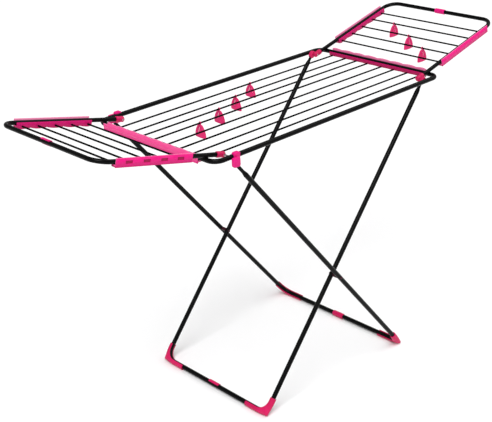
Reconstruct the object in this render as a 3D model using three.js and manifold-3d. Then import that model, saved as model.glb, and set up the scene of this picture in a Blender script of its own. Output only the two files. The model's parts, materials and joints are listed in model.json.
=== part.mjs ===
// Folding clothes airer: a wire rack on crossed legs, with two wings that rest tilted on its end rails.
// Millimetres. X runs along the rack, Y across it, Z up; the floor is z = 0 and the rack is centred on X and Y.
import * as THREE from "three";
import { mergeVertices } from "three/addons/utils/BufferGeometryUtils.js";
import Module from "manifold-3d";

const wasm = await Module();
wasm.setup();

// Rack
const rackLength = 972; // between the centres of the end rails
const rackWidth = 520; // between the centres of the side rails
const railHeight = 907; // floor to the centre of the rails
const railRadius = 7;
const rackCorner = 30;
const wireRadius = 2.5;
const wireMargin = 69; // side rail centre to the outermost wire
const rackWires = [1, 0.69, 0.43, 0.17, -0.15, -0.43, -0.73, -1]; // places across the wired half-width
const clearance = 0.4;

// Wings
const wingRadius = 6.5;
const wingWidth = 450; // between the centres of the two arms
const wingReach = 420; // hinge axis to the centre of the outer bar
const wingCorner = 45;
const hingeInset = 57; // end rail centre to the hinge axis
const wingWires = [68.5, 120.5, 178.5, 234.5, 291.5]; // distances in from the outer bar
const combStart = 50; // outer bar to the comb
const combMargin = 14; // last wire to the end of the comb
const capRadius = 9;
const capLength = 30;
const hingePinRadius = 3;

// Combs that hold the wire ends
const combWall = 1.7;
const fitGap = 0.3; // between a moulding and the tube it sits on
const combRise = 4; // outer wall above the tube
const combDrop = 5.6; // floor below the wires
const combFlangeTop = 2; // inner flange's top edge from the tube's centre
const lobeDrop = 4;

// Legs
const legRadius = 7.25;
const footHeight = 11; // floor to the centre of a foot bar
const legAWidth = 550;
const legBWidth = 484;
const legAFootX = 281;
const legBFootX = -326;
const legATopInset = 47; // end rail centre to where the leg's axis meets the height of the rails
const legCorner = 40;
const shoeRadius = 11.4;
const shoeUp = 52;
const shoeAlong = 90;
const sleeveLength = 46;
const wingSleeveLength = 40;
const rivetRadius = 2.5;

// Rail clasps and leg hooks
const claspRadius = 10.6;
const claspLength = 22;
const claspInner = 3; // clasp's open side in from the rail's centre
const claspAbove = 12;
const claspBelow = 23;
const claspInset = 26; // from the leg's top towards the middle of the rack
const hookInset = 13.5;
const hookLength = 25;
const hookThickness = 11;
const hookAbove = 2; // above the rail's centre
const hookBelow = 25;
const hookCorner = 5;
const hookGap = 0.9; // between a hook and the side of its clasp
const tongueFrom = 14; // pressed end of the outer leg, down from its top
const tongueTo = 84;
const tubeFrom = 70;
const tongueHalf = 5;
const tongueThickness = 6;
const rivetCollar = 6.5;
const pivotCapReach = 8; // down the inner leg

// Sock clips
const clipWidth = 46;
const clipHeight = 50;
const clipThickness = 2.6;
const rackClipX = [76, -44, -161, -283]; // on the four rack wires furthest in +Y
const wingClipY = [116, 5, -97]; // on the right wing's second, third and fourth wires

const steel = { color: 0x141416, roughness: 0.35, metalness: 0.3 };
const wireSteel = { color: 0x161618, roughness: 0.4, metalness: 0.3 };
const plastic = { color: 0xe8207a, roughness: 0.45, metalness: 0 };
const darkPlastic = { color: 0x2c0f18, roughness: 0.45, metalness: 0 };
const zinc = { color: 0x9a9a9e, roughness: 0.35, metalness: 0.9 };

const group = new THREE.Group();
const halfLength = rackLength / 2;
const halfWidth = rackWidth / 2;
const hingeX = halfLength - hingeInset;
const legATopX = legATopInset - halfLength;
const restLift = railRadius + wingRadius + fitGap;
const wingTilt = Math.asin(restLift / hingeInset);

// Solids

function toSolid(geometry) {
  const bare = geometry.index ? geometry.toNonIndexed() : geometry.clone();
  bare.deleteAttribute("normal");
  bare.deleteAttribute("uv");
  const merged = mergeVertices(bare, 1e-3);
  const vertProperties = merged.attributes.position.array;
  const triVerts = new Uint32Array(merged.index.array);
  return new wasm.Manifold(new wasm.Mesh({ numProp: 3, vertProperties, triVerts }));
}

function toGeometry(solid) {
  const mesh = solid.getMesh();
  const geometry = new THREE.BufferGeometry();
  geometry.setAttribute("position", new THREE.BufferAttribute(mesh.vertProperties, 3));
  geometry.setIndex(new THREE.BufferAttribute(mesh.triVerts, 1));
  geometry.computeVertexNormals();
  return geometry;
}

function join(...geometries) {
  return geometries.map(toSolid).reduce((a, b) => a.add(b));
}

function addNode(name, solid, finish, parent = group) {
  const geometry = solid.isBufferGeometry ? solid : toGeometry(solid);
  const mesh = new THREE.Mesh(geometry, new THREE.MeshStandardMaterial(finish));
  mesh.name = name;
  parent.add(mesh);
  return mesh;
}

// A path that puts one ring of an extrusion at each of its points.
class PointPath extends THREE.Curve {
  constructor(points) {
    super();
    this.points = points;
  }
  getPoint(t, target = new THREE.Vector3()) {
    const last = this.points.length - 1;
    const place = Math.min(Math.max(t * last, 0), last);
    const index = Math.min(Math.floor(place + 1e-9), last - 1);
    return target.lerpVectors(this.points[index], this.points[index + 1], place - index);
  }
  getPointAt(u, target) {
    return this.getPoint(u, target);
  }
  getTangentAt(u, target = new THREE.Vector3()) {
    const last = this.points.length - 1;
    const index = Math.round(u * last);
    const before = this.points[Math.max(index - 1, 0)];
    const here = this.points[index];
    const after = this.points[Math.min(index + 1, last)];
    const arriving = here.clone().sub(before).normalize();
    const leaving = after.clone().sub(here).normalize();
    return target.copy(arriving).add(leaving).normalize();
  }
}

// Points through the corners given, with each corner rounded to its radius.
function roundedPath(corners, radius, steps = 5) {
  const points = [corners[0]];
  for (let i = 1; i < corners.length - 1; i++) {
    const back = corners[i - 1].clone().sub(corners[i]).normalize();
    const ahead = corners[i + 1].clone().sub(corners[i]).normalize();
    const half = back.angleTo(ahead) / 2;
    const centre = back.clone().add(ahead).normalize().multiplyScalar(radius / Math.sin(half)).add(corners[i]);
    const start = back.clone().multiplyScalar(radius / Math.tan(half)).add(corners[i]).sub(centre);
    const finish = ahead.clone().multiplyScalar(radius / Math.tan(half)).add(corners[i]).sub(centre);
    const axis = start.clone().cross(finish).normalize();
    for (let k = 0; k <= steps; k++) {
      points.push(start.clone().applyAxisAngle(axis, ((Math.PI - 2 * half) * k) / steps).add(centre));
    }
  }
  points.push(corners[corners.length - 1]);
  return points;
}

function circle(radius, sides) {
  const shape = new THREE.Shape();
  for (let i = 0; i < sides; i++) {
    const angle = ((i + 0.5) * 2 * Math.PI) / sides;
    const method = i ? "lineTo" : "moveTo";
    shape[method](radius * Math.cos(angle), radius * Math.sin(angle));
  }
  shape.closePath();
  return shape;
}

function tubeAlong(points, radius, sides = 12) {
  const extrudePath = new PointPath(points);
  return new THREE.ExtrudeGeometry(circle(radius, sides), { steps: points.length - 1, extrudePath });
}

// A tube along a path that comes back to its start: the walls of the extrusion alone, with no lids.
function ringAlong(points, radius) {
  const tube = tubeAlong(points, radius);
  const walls = tube.groups[1];
  const positions = tube.getAttribute("position").array.slice(3 * walls.start, 3 * (walls.start + walls.count));
  return new THREE.BufferGeometry().setAttribute("position", new THREE.BufferAttribute(positions, 3));
}

function rod(from, to, radius, sides = 12) {
  return tubeAlong([from, to], radius, sides);
}

function vec(x, y, z) {
  return new THREE.Vector3(x, y, z);
}

// A shape drawn in X and Z, given thickness along Y from low to high.
function plateXZ(shape, low, high) {
  const geometry = new THREE.ExtrudeGeometry(shape, { depth: high - low, bevelEnabled: false, curveSegments: 6 });
  return geometry.rotateX(Math.PI / 2).translate(0, high, 0);
}

function polygon(points) {
  return new THREE.Shape(points.map(([x, y]) => new THREE.Vector2(x, y)));
}

// A bar with round ends from one point to another, as an outline.
function stadium(from, to, radius, steps = 6) {
  const along = to.clone().sub(from);
  const turn = Math.atan2(along.y, along.x);
  const points = [];
  [to, from].forEach((centre, end) => {
    for (let i = 0; i <= steps; i++) {
      const angle = turn - Math.PI / 2 + (i * Math.PI) / steps + end * Math.PI;
      points.push(new THREE.Vector2(Math.cos(angle), Math.sin(angle)).multiplyScalar(radius).add(centre));
    }
  });
  return new THREE.Shape(points);
}

// Combs: drawn across a tube that runs along X, with the wires arriving from +Y.

function combSolid(start, end, tubeRadius, wirePlaces, crest) {
  const wireLevel = wireDrop(tubeRadius);
  const seat = tubeRadius + fitGap;
  const outer = -(seat + combWall);
  const lip = seat + combWall;
  const floorTop = -seat;
  const floor = -(wireLevel + combDrop);
  const profile = polygon([
    [outer, floor],
    [lip, floor],
    [lip, combFlangeTop],
    [lip - combWall, combFlangeTop],
    [lip - combWall, floorTop],
    [outer + combWall, floorTop],
    [outer + combWall, tubeRadius + combRise],
    [outer, tubeRadius + combRise],
  ]);
  const channel = new THREE.ExtrudeGeometry(profile, { depth: end - start, bevelEnabled: false });
  channel.rotateX(Math.PI / 2).rotateZ(Math.PI / 2).translate(start, 0, 0);
  const pieces = [toSolid(channel)];
  wirePlaces.forEach((x, i) => {
    const reach = lobeHalf(wirePlaces, i);
    const lobe = new THREE.Shape();
    lobe.moveTo(Math.max(x - reach, start), floor + 0.5);
    lobe.quadraticCurveTo(x, floor - 2 * lobeDrop, Math.min(x + reach, end), floor + 0.5);
    lobe.closePath();
    pieces.push(toSolid(plateXZ(lobe, lip - combWall, lip)));
    if (crest) {
      const top = tubeRadius + combRise;
      const bump = new THREE.Shape();
      bump.moveTo(Math.max(x - reach, start), top - 0.5);
      bump.lineTo(Math.min(x + reach, end), top - 0.5);
      bump.quadraticCurveTo(x, top + 2 * crest, Math.max(x - reach, start), top - 0.5);
      pieces.push(toSolid(plateXZ(bump, outer, outer + combWall)));
    }
  });
  const holes = wirePlaces.map((x) =>
    toSolid(rod(vec(x, outer + combWall, -wireLevel), vec(x, 2 * lip, -wireLevel), wireRadius + clearance, 10)),
  );
  const body = pieces.reduce((a, b) => a.add(b));
  return holes.reduce((a, b) => a.subtract(b), body);
}

function wireDrop(tubeRadius) {
  return tubeRadius + wireRadius + clearance;
}

function lobeHalf(places, i) {
  const gaps = [places[i + 1], places[i - 1]].filter((p) => p !== undefined).map((p) => Math.abs(p - places[i]));
  return Math.min(...gaps) / 2;
}

// Rack: a tube bent into a rounded rectangle, wires along it, and a comb on each end rail.

const wiredHalf = halfWidth - wireMargin;
const wireY = rackWires.map((share) => share * wiredHalf);
const pinDepth = 9; // hinge pin into the side rail

function buildRack() {
  const corners = [
    vec(0, -halfWidth, railHeight),
    vec(halfLength, -halfWidth, railHeight),
    vec(halfLength, halfWidth, railHeight),
    vec(-halfLength, halfWidth, railHeight),
    vec(-halfLength, -halfWidth, railHeight),
    vec(0, -halfWidth, railHeight),
  ];
  let frame = toSolid(ringAlong(roundedPath(corners, rackCorner), railRadius));
  for (const [x, y] of hingePlaces()) {
    const inner = halfWidth - railRadius;
    const low = vec(x, Math.sign(y) * (inner - 5), railHeight);
    const high = vec(x, Math.sign(y) * (inner + pinDepth + clearance), railHeight);
    frame = frame.subtract(toSolid(rod(low, high, hingePinRadius + clearance, 10)));
  }
  addNode("rack_frame", frame, steel);
  const wireEnd = halfLength + railRadius - 1;
  const wireZ = railHeight - wireDrop(railRadius);
  wireY.forEach((y, i) => {
    addNode("rack_wire_" + (i + 1), rod(vec(-wireEnd, y, wireZ), vec(wireEnd, y, wireZ), wireRadius, 8), wireSteel);
  });
  for (const [name, side] of [["left_end_comb", -1], ["right_end_comb", 1]]) {
    const places = wireY.map((y) => side * y);
    const span = wiredHalf + combMargin;
    const comb = combSolid(-span, span, railRadius, places, 1.6);
    const mesh = addNode(name, comb, plastic);
    mesh.rotation.z = side * (Math.PI / 2);
    mesh.position.set(side * halfLength, 0, railHeight);
  }
}

function hingePlaces() {
  return [1, -1].flatMap((side) => [1, -1].map((edge) => [side * hingeX, (edge * wingWidth) / 2]));
}

// Wings: a U of tube, five wires, two combs, hinge caps on the arm ends and a joint sleeve on the outer bar.
// Each is built flat along +X from its hinge axis, then tilted and turned into place.

function buildWing(name, side) {
  const arm = wingWidth / 2;
  const wing = new THREE.Group();
  const corners = [
    vec(10, -arm, 0),
    vec(wingReach, -arm, 0),
    vec(wingReach, arm, 0),
    vec(10, arm, 0),
  ];
  addNode(name + "_frame", toSolid(tubeAlong(roundedPath(corners, wingCorner), wingRadius)), steel, wing);
  const level = -wireDrop(wingRadius);
  const wireEnd = arm + wingRadius - 1;
  const places = wingWires.map((inset) => wingReach - inset);
  places.forEach((x, i) => {
    const wire = rod(vec(x, -wireEnd, level), vec(x, wireEnd, level), wireRadius, 8);
    addNode(name + "_wire_" + (i + 1), wire, wireSteel, wing);
  });
  const combEnd = Math.min(...places) - combMargin;
  for (const [edgeName, edge] of [["far", side], ["near", -side]]) {
    const low = edge > 0 ? -(wingReach - combStart) : combEnd;
    const high = edge > 0 ? -combEnd : wingReach - combStart;
    const comb = combSolid(low, high, wingRadius, places.map((x) => -edge * x), 0);
    const mesh = addNode(name + "_" + edgeName + "_comb", comb, plastic, wing);
    mesh.rotation.z = edge > 0 ? Math.PI : 0;
    mesh.position.set(0, edge * arm, 0);
    addNode(name + "_" + edgeName + "_cap", hingeCap(edge * arm), plastic, wing);
  }
  const sleeve = sleeveSolid(wingRadius, wingSleeveLength).rotate([0, 0, 90]);
  addNode(name + "_sleeve", sleeve.translate([wingReach, 0, 0]), plastic, wing);
  wing.rotation.order = "ZYX";
  wing.rotation.y = -wingTilt;
  wing.rotation.z = side > 0 ? 0 : Math.PI;
  wing.position.set(side * hingeX, 0, railHeight);
  group.add(wing);
  return wing;
}

function hingeCap(y) {
  const back = -capRadius + 1;
  const profile = [
    [0, back],
    [capRadius - 2.5, back],
    [capRadius, back + 3],
    [capRadius, capLength + back - 1.5],
    [capRadius - 1.5, capLength + back],
    [0, capLength + back],
  ].map(([r, h]) => new THREE.Vector2(r, h));
  const body = toSolid(new THREE.LatheGeometry(profile, 16)).rotate([0, 0, -90]).translate([0, y, 0]);
  const socket = toSolid(rod(vec(10 - clearance, y, 0), vec(2 * capLength, y, 0), wingRadius + clearance, 12));
  const eye = toSolid(rod(vec(0, y - 20, 0), vec(0, y + 20, 0), hingePinRadius + clearance, 10));
  return body.subtract(socket).subtract(eye);
}

// A sleeve along X, open at both ends.
function sleeveSolid(tubeRadius, length) {
  const outer = tubeRadius + 2.2;
  const inner = tubeRadius + fitGap;
  const half = length / 2;
  const profile = [
    [inner, -half],
    [outer - 0.8, -half],
    [outer, -half + 1.2],
    [outer, half - 1.2],
    [outer - 0.8, half],
    [inner, half],
    [inner, -half],
  ].map(([r, h]) => new THREE.Vector2(r, h));
  return toSolid(new THREE.LatheGeometry(profile, 14)).rotate([0, 0, -90]);
}

function buildHingePins() {
  const names = ["right_far", "right_near", "left_far", "left_near"];
  hingePlaces().forEach(([x, y], i) => {
    const edge = Math.sign(y);
    const outer = halfWidth - railRadius + pinDepth;
    const inner = wingWidth / 2 - capRadius - 0.5;
    const pin = rod(vec(x, edge * inner, railHeight), vec(x, edge * outer, railHeight), hingePinRadius, 10);
    addNode(names[i] + "_hinge_pin", pin, zinc);
  });
}

// Legs: two U frames that cross. A leg is described by its foot and top points in X and Z.

const footZ = footHeight;
const legATop = new THREE.Vector2(legATopX, railHeight);
const legAFoot = new THREE.Vector2(legAFootX, footZ);
const legBTop = new THREE.Vector2(hingeX, railHeight);
const legBFoot = new THREE.Vector2(legBFootX, footZ);
const crossing = crossingPoint(legATop, legAFoot, legBTop, legBFoot);

function crossingPoint(a, b, c, d) {
  const r = b.clone().sub(a);
  const s = d.clone().sub(c);
  const t = c.clone().sub(a).cross(s) / r.cross(s);
  return a.clone().addScaledVector(r, t);
}

// The point on a leg's axis that lies a distance down from its top, at a place across.
function onLeg(top, foot, distance, y) {
  const along = foot.clone().sub(top).normalize();
  return vec(top.x + along.x * distance, y, top.y + along.y * distance);
}

function legPath(top, foot, width, topStop, bottomTrim = 0) {
  const length = top.distanceTo(foot);
  const half = width / 2;
  const corners = [
    onLeg(top, foot, topStop, -half),
    onLeg(top, foot, length - bottomTrim, -half),
    onLeg(top, foot, length - bottomTrim, half),
    onLeg(top, foot, topStop, half),
  ];
  return roundedPath(corners, legCorner);
}

const rivetHole = () => {
  const low = vec(crossing.x, -legAWidth, crossing.y);
  const high = vec(crossing.x, legAWidth, crossing.y);
  return toSolid(rod(low, high, rivetRadius + clearance, 8));
};

const hookY = halfWidth + claspRadius + hookGap + hookThickness / 2; // middle of the hook's thickness

function buildLegA() {
  const low = hookY - tongueThickness / 2;
  const high = hookY + tongueThickness / 2;
  let frame = toSolid(tubeAlong(legPath(legATop, legAFoot, legAWidth, tubeFrom), legRadius));
  for (const edge of [1, -1]) {
    frame = frame.add(tongue(legATop, legAFoot, tongueFrom, tongueTo, tongueHalf, edge, low, high));
  }
  addNode("outer_leg_frame", frame.subtract(rivetHole()), steel);
}

function buildLegB() {
  const middle = legBWidth / 2;
  let frame = toSolid(tubeAlong(legPath(legBTop, legBFoot, legBWidth, 24), legRadius));
  for (const edge of [1, -1]) {
    frame = frame.add(tongue(legBTop, legBFoot, 0, 34, 6, edge, middle - 2.5, middle + 2.5));
  }
  addNode("inner_leg_frame", frame.subtract(rivetHole()).subtract(pivotHole()), steel);
}

function pivotHole() {
  const low = vec(legBTop.x, -legBWidth, legBTop.y);
  const high = vec(legBTop.x, legBWidth, legBTop.y);
  return toSolid(rod(low, high, hingePinRadius + clearance, 10));
}

// The flattened end of a leg tube, from one distance down the leg to another.
function tongue(top, foot, from, to, radius, edge, low, high) {
  const start = onLeg(top, foot, from, 0);
  const end = onLeg(top, foot, to, 0);
  const shape = stadium(new THREE.Vector2(start.x, start.z), new THREE.Vector2(end.x, end.z), radius);
  return toSolid(edge > 0 ? plateXZ(shape, low, high) : plateXZ(shape, -high, -low));
}

function buildFeet(name, top, foot, width) {
  const length = top.distanceTo(foot);
  const half = width / 2;
  for (const [edgeName, edge] of [["far", 1], ["near", -1]]) {
    const corners = [
      onLeg(top, foot, length - shoeUp, edge * half),
      onLeg(top, foot, length, edge * half),
      onLeg(top, foot, length, edge * (half - shoeAlong)),
    ];
    const reach = [
      onLeg(top, foot, length - shoeUp - 20, edge * half),
      corners[1],
      onLeg(top, foot, length, edge * (half - shoeAlong - 20)),
    ];
    const outside = toSolid(tubeAlong(roundedPath(corners, legCorner), shoeRadius, 14));
    const inside = toSolid(tubeAlong(roundedPath(reach, legCorner), legRadius + fitGap, 12));
    const ground = toSolid(new THREE.BoxGeometry(400, 1200, 40)).translate([foot.x, 0, -20]);
    addNode(name + "_" + edgeName + "_shoe", outside.subtract(inside).subtract(ground), plastic);
  }
  const sleeve = sleeveSolid(legRadius, sleeveLength).rotate([0, 0, 90]);
  addNode(name + "_foot_sleeve", sleeve.translate([foot.x, 0, foot.y]), plastic);
}

// Shouldered rivets where the legs cross: the collar keeps the two frames apart.
function buildRivets() {
  for (const [edgeName, edge] of [["far", 1], ["near", -1]]) {
    const inner = legBWidth / 2 - legRadius;
    const outer = legAWidth / 2 + legRadius;
    const collarLow = legBWidth / 2 + legRadius + clearance;
    const collarHigh = legAWidth / 2 - legRadius - clearance;
    const profile = [
      [0, inner - 1.6],
      [4.2, inner - 1.4],
      [4.6, inner - clearance],
      [rivetRadius, inner - clearance],
      [rivetRadius, collarLow],
      [rivetCollar, collarLow],
      [rivetCollar, collarHigh],
      [rivetRadius, collarHigh],
      [rivetRadius, outer + clearance],
      [5.2, outer + clearance],
      [4.4, outer + 2],
      [0, outer + 2.6],
    ].map(([r, h]) => new THREE.Vector2(r, h));
    const solid = toSolid(new THREE.LatheGeometry(profile, 12)).rotate([0, 0, edge > 0 ? 0 : 180]);
    addNode(edgeName + "_leg_rivet", solid.translate([crossing.x, 0, crossing.y]), darkPlastic);
  }
}

// The clasp sits over the outer side of the rail, and the hook on the outer leg's pressed end stands beside it.
function buildClaspsAndHooks() {
  const claspMiddle = legATopX + claspInset;
  const hookMiddle = legATopX + hookInset;
  const hookLow = new THREE.Vector2(hookMiddle - hookLength / 2, railHeight - hookBelow);
  const hookHigh = new THREE.Vector2(hookMiddle + hookLength / 2, railHeight + hookAbove);
  const hookShape = roundedBox(hookLow, hookHigh, hookCorner);
  const claspShape = circle(claspRadius, 14);
  const slotLow = hookY - tongueThickness / 2 - clearance;
  const slotHigh = hookY + tongueThickness / 2 + clearance;
  for (const [edgeName, edge] of [["far", 1], ["near", -1]]) {
    const low = hookY - hookThickness / 2;
    const high = hookY + hookThickness / 2;
    const hook = toSolid(plateXZ(hookShape, ...(edge > 0 ? [low, high] : [-high, -low])));
    const slotStart = tongueFrom - clearance;
    const slot = tongue(legATop, legAFoot, slotStart, tongueTo, tongueHalf + clearance, edge, slotLow, slotHigh);
    addNode("outer_leg_" + edgeName + "_hook", hook.subtract(slot), plastic);

    const ring = new THREE.ExtrudeGeometry(claspShape, { depth: claspLength, bevelEnabled: false });
    ring.rotateY(Math.PI / 2).translate(claspMiddle - claspLength / 2, edge * halfWidth, railHeight);
    const bore = rod(
      vec(claspMiddle - claspLength, edge * halfWidth, railHeight),
      vec(claspMiddle + claspLength, edge * halfWidth, railHeight),
      railRadius + fitGap,
    );
    const opening = new THREE.BoxGeometry(2 * claspLength, 2 * claspRadius, 4 * claspRadius);
    opening.translate(claspMiddle, edge * (halfWidth - claspInner - claspRadius), railHeight);
    const blocks = claspBlocks(claspMiddle, edge).map(toSolid);
    const body = blocks.reduce((a, b) => a.add(b), toSolid(ring));
    const clasp = body.subtract(toSolid(bore)).subtract(toSolid(opening));
    addNode("rail_clasp_" + edgeName, clasp, plastic);
  }
}

// The block that carries the clasp: above the rail's centre it is as deep as the ring, below it stops at the rail's side.
function claspBlocks(middle, edge) {
  return [
    [railHeight, railHeight + claspAbove, claspRadius],
    [railHeight - claspBelow, railHeight, railRadius + fitGap],
  ].map(([low, high, outward]) => {
    const depth = claspInner + outward;
    const block = new THREE.BoxGeometry(claspLength, depth, high - low);
    return block.translate(middle, edge * (halfWidth + depth / 2 - claspInner), (low + high) / 2);
  });
}

function roundedBox(low, high, radius, steps = 4) {
  const points = [];
  [[high.x, high.y], [low.x, high.y], [low.x, low.y], [high.x, low.y]].forEach(([x, y], i) => {
    const centre = [x - radius * Math.sign(x - low.x - 1e-6), y - radius * Math.sign(y - low.y - 1e-6)];
    for (let k = 0; k <= steps; k++) {
      const angle = (Math.PI / 2) * (i + k / steps);
      points.push([centre[0] + radius * Math.cos(angle), centre[1] + radius * Math.sin(angle)]);
    }
  });
  return polygon(points);
}

// Pink caps over the inner leg's pivots
function buildPivotCaps() {
  const start = new THREE.Vector2(legBTop.x, legBTop.y);
  const low = onLeg(legBTop, legBFoot, pivotCapReach, 0);
  const shape = stadium(start, new THREE.Vector2(low.x, low.z), capRadius);
  const middle = legBWidth / 2;
  for (const [edgeName, edge] of [["far", 1], ["near", -1]]) {
    const span = [middle - 6.8, middle + 7.5];
    const body = toSolid(plateXZ(shape, ...(edge > 0 ? span : [-span[1], -span[0]])));
    const slot = tongue(legBTop, legBFoot, 0, 60, 6 + clearance, edge, middle - 2.9, middle + 2.9);
    const solid = body.subtract(slot).subtract(pivotHole());
    addNode("inner_leg_" + edgeName + "_cap", solid, plastic);
  }
}

// Sock clips: a leaf-shaped plate with two slots, hung on a wire by the ring at its tip.

function clipSolid() {
  const w = clipWidth / 2;
  const ring = wireRadius + 2.4;
  const low = -clipHeight + ring;
  const leaf = new THREE.Shape();
  leaf.moveTo(-2.5, -ring + 1);
  leaf.lineTo(2.5, -ring + 1);
  leaf.quadraticCurveTo(w * 0.75, low * 0.35, w, low * 0.85);
  leaf.quadraticCurveTo(w * 0.4, low * 1.02, 0, low);
  leaf.quadraticCurveTo(-w * 0.4, low * 1.02, -w, low * 0.85);
  leaf.quadraticCurveTo(-w * 0.75, low * 0.35, -2.5, -ring + 1);
  let solid = join(plateXZ(leaf, 0, clipThickness), plateXZ(circle(ring, 12), 0, clipThickness));
  for (const side of [1, -1]) {
    const from = new THREE.Vector2(side * 3.5, low * 0.28);
    const to = new THREE.Vector2(side * 8, low * 0.6);
    solid = solid.subtract(toSolid(plateXZ(stadium(from, to, 1.2, 3), -1, clipThickness + 1)));
  }
  const hole = toSolid(plateXZ(circle(wireRadius + clearance, 10), -1, clipThickness + 1));
  const mouth = toSolid(new THREE.BoxGeometry(2 * ring, 10, 2.2)).translate([ring + 0.6, 0, 0]);
  return solid.translate([0, -clipThickness / 2, 0]).subtract(hole.translate([0, -clipThickness / 2, 0])).subtract(mouth);
}

function buildClips(rightWing) {
  const solid = clipSolid();
  rackClipX.forEach((x, i) => {
    const mesh = addNode("rack_clip_" + (i + 1), solid, plastic);
    mesh.rotation.z = -Math.PI / 2;
    mesh.position.set(x, wireY[i], railHeight - wireDrop(railRadius));
  });
  wingClipY.forEach((y, i) => {
    const along = wingReach - wingWires[i + 1];
    const place = vec(along, y, -wireDrop(wingRadius));
    const mesh = addNode("wing_clip_" + (i + 1), solid, plastic);
    rightWing.updateMatrix();
    mesh.position.copy(place.applyMatrix4(rightWing.matrix));
  });
}

buildRack();
buildHingePins();
const rightWing = buildWing("right_wing", 1);
buildWing("left_wing", -1);
buildLegA();
buildLegB();
buildFeet("outer", legATop, legAFoot, legAWidth);
buildFeet("inner", legBTop, legBFoot, legBWidth);
buildRivets();
buildClaspsAndHooks();
buildPivotCaps();
buildClips(rightWing);

export default group;
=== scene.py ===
import json
import math
import bmesh
import bpy
from mathutils import Matrix, Vector


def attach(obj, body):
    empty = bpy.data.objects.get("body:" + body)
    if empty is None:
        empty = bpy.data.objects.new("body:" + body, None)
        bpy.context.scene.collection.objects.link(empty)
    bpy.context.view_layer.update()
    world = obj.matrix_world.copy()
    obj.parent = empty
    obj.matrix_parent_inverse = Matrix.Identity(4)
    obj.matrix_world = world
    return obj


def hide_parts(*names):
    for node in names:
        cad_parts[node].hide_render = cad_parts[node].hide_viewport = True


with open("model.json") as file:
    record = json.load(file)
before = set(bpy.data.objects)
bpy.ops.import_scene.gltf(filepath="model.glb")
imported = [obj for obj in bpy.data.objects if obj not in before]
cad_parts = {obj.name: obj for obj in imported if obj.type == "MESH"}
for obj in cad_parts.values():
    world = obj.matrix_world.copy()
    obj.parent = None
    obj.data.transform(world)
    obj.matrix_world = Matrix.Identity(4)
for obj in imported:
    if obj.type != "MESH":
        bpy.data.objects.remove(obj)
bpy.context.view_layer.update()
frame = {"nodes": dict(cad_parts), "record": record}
mm = 0.001
sharpAngle = 42  # an edge that turns by more degrees than this stays crisp
up = Vector((0, 0, 1))
lengthways = Vector((1, 0, 0))
crossways = Vector((0, 1, 0))
print("frame loaded")


# Shader helpers

class Flow:
    # a socket that can be used in sums
    def __init__(self, tree, socket):
        self.tree = tree
        self.socket = socket

    def blend(self, operation, first, second):
        node = self.tree.nodes.new("ShaderNodeMath")
        node.operation = operation
        for place, value in enumerate((first, second)):
            if isinstance(value, Flow):
                self.tree.links.new(value.socket, node.inputs[place])
            else:
                node.inputs[place].default_value = value
        return Flow(self.tree, node.outputs[0])

    def __add__(self, other):
        return self.blend("ADD", self, other)

    def __radd__(self, other):
        return self.blend("ADD", other, self)

    def __sub__(self, other):
        return self.blend("SUBTRACT", self, other)

    def __rsub__(self, other):
        return self.blend("SUBTRACT", other, self)

    def __mul__(self, other):
        return self.blend("MULTIPLY", self, other)

    def __rmul__(self, other):
        return self.blend("MULTIPLY", other, self)


class Finish:
    # a material and its one surface shader
    def __init__(self, name, **fixed):
        self.material = bpy.data.materials.new(name)
        self.material.use_nodes = True
        self.tree = self.material.node_tree
        self.surface = self.tree.nodes["Principled BSDF"]
        for socket, value in fixed.items():
            self.surface.inputs[socket.replace("_", " ")].default_value = value
        self.place = self.node("ShaderNodeTexCoord", output="Object")

    def node(self, kind, settings=None, inputs=None, output=0):
        # any node, with its settings made before its sockets
        made = self.tree.nodes.new(kind)
        for key, value in (settings or {}).items():
            if key == "stops":
                for stop, (position, colour) in zip(made.color_ramp.elements, value):
                    stop.position = position
                    stop.color = colour
            else:
                setattr(made, key, value)
        for key, value in (inputs or {}).items():
            if isinstance(value, Flow):
                self.tree.links.new(value.socket, made.inputs[key])
            else:
                made.inputs[key].default_value = value
        return Flow(self.tree, made.outputs[output])

    def noise(self, scale, detail=2.0, roughness=0.5):
        inputs = {"Vector": self.place, "Scale": scale, "Detail": detail, "Roughness": roughness}
        return self.node("ShaderNodeTexNoise", {}, inputs)

    def band(self, value, low, high):
        # 0 below low, 1 above high
        settings = {"clamp": True}
        inputs = {"Value": value, "From Min": low, "From Max": high, "To Min": 0.0, "To Max": 1.0}
        return self.node("ShaderNodeMapRange", settings, inputs)

    def mix(self, factor, first, second):
        settings = {"data_type": "RGBA", "blend_type": "MIX"}
        return self.node("ShaderNodeMix", settings, {0: factor, 6: first, 7: second}, 2)

    def bump(self, height, strength, distance):
        inputs = {"Height": height, "Strength": strength, "Distance": distance}
        return self.node("ShaderNodeBump", {}, inputs)

    def feed(self, socket, value):
        self.tree.links.new(value.socket, self.surface.inputs[socket])


# Finishes

enamelLook = {
    "deep": (0.0014, 0.0014, 0.0016, 1),
    "pale": (0.0042, 0.0041, 0.0042, 1),
    "rubScale": 34,
    "rubBand": (0.52, 0.72),
    "rubRoughness": 0.12,
    "peelScale": 420,
    "peelStrength": 0.25,
    "peelHeight": 0.00004,
}


def enamel(name, roughness, specular):
    finish = Finish(name, Specular_IOR_Level=specular, IOR=1.5)
    cloud = finish.noise(enamelLook["rubScale"], detail=4, roughness=0.6)
    rubbed = finish.band(cloud, *enamelLook["rubBand"])
    finish.feed("Base Color", finish.mix(rubbed, enamelLook["deep"], enamelLook["pale"]))
    finish.feed("Roughness", roughness + enamelLook["rubRoughness"] * rubbed)
    peel = finish.noise(enamelLook["peelScale"], detail=2, roughness=0.5)
    finish.feed("Normal", finish.bump(peel, enamelLook["peelStrength"], enamelLook["peelHeight"]))
    return finish.material


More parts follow.
